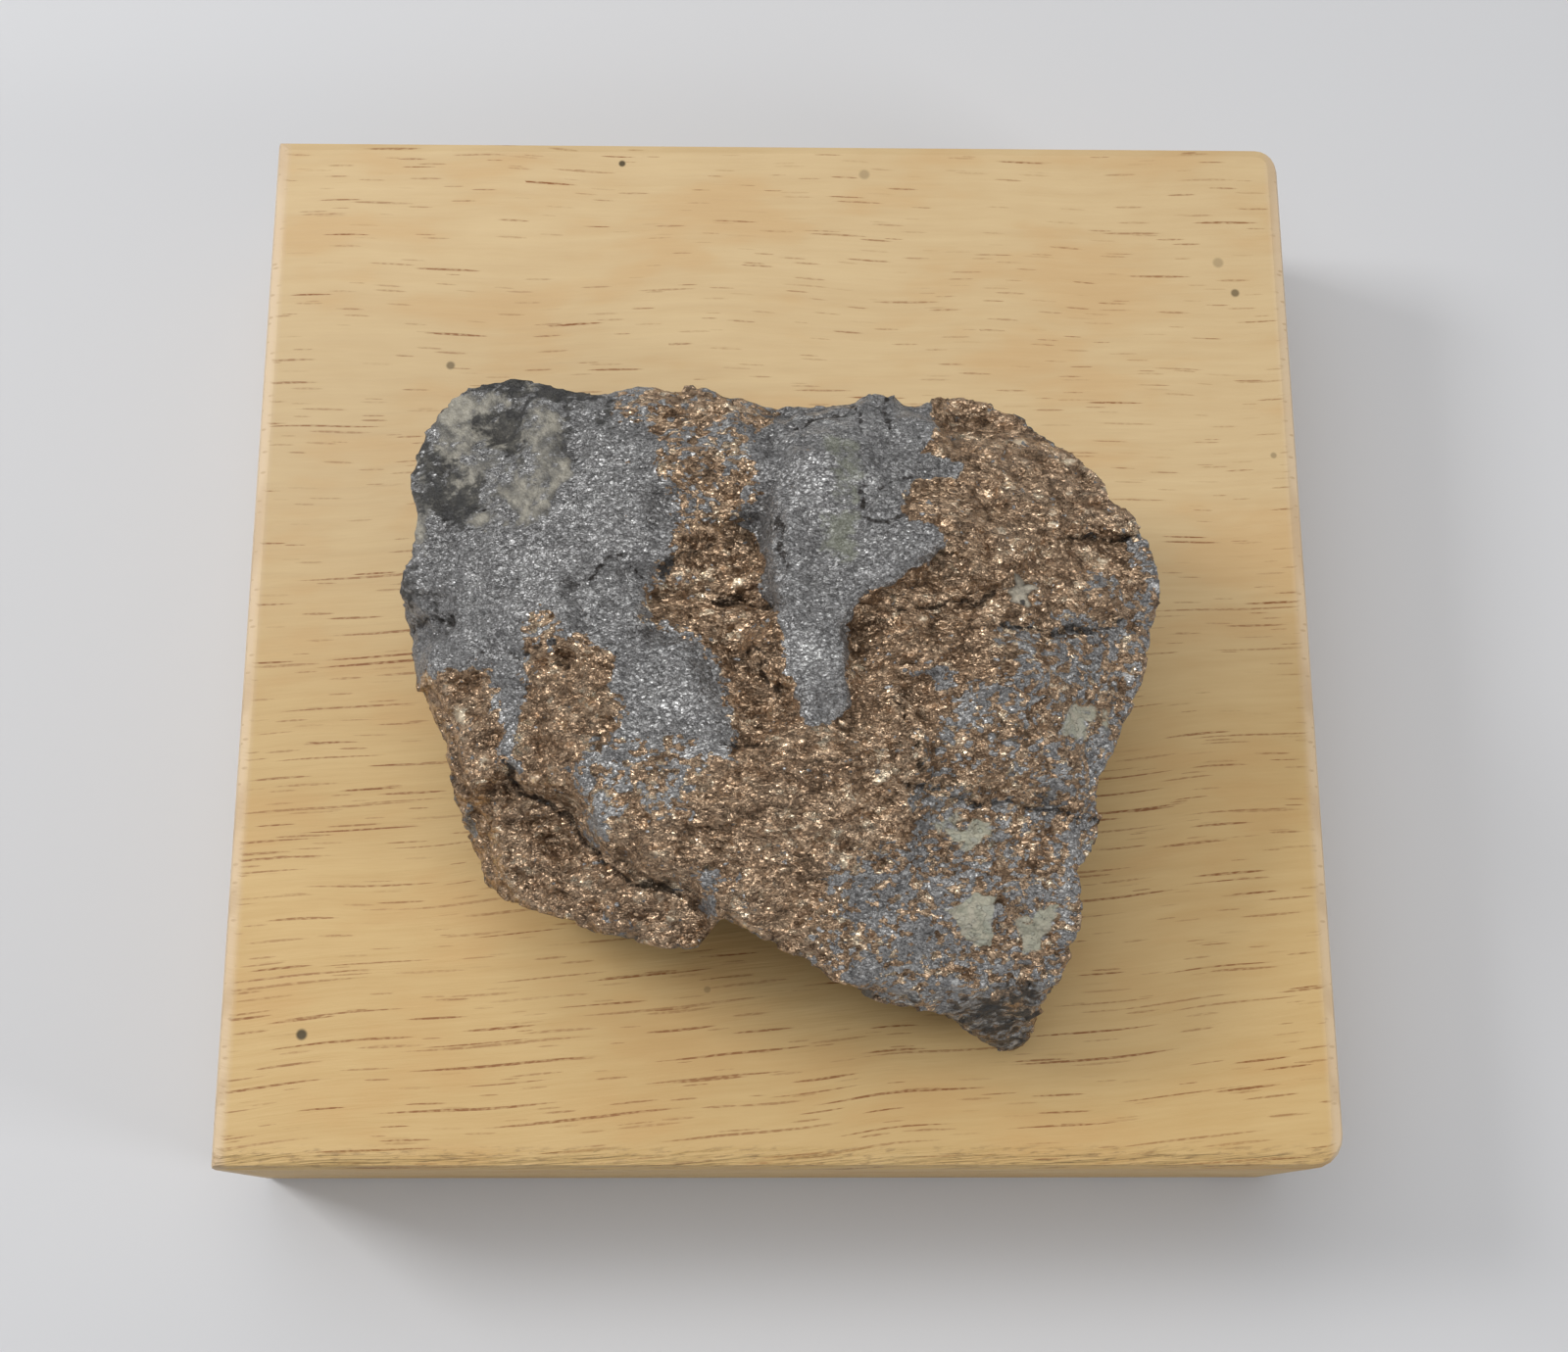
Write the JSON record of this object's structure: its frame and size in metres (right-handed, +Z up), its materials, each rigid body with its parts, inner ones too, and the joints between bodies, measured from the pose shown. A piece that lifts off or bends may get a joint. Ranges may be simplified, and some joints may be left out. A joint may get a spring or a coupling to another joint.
{
  "type": "nickeline hand specimen on a wooden display block",
  "caption": "Broken lump of nickeline ore, bronze and steel grey with pale gangue, lying on a square pale hardwood display block with eased edges.",
  "frame": {"origin": "middle of the display block's underside", "axes": "+Z up, +X along the grain of the block's wood, +Y towards the specimen's straight upper rim"},
  "size_m": [0.12, 0.12, 0.0592],
  "materials": {
    "nickeline_ore": "rough broken metallic ore, coarse bronze grains and fine steel grey, with pale gangue patches",
    "pale_hardwood": "sanded and thinly waxed"
  },
  "bodies": {
    "root": {"nickeline_specimen": "nickeline_ore", "display_block": "pale_hardwood"}
  },
  "joints": []
}
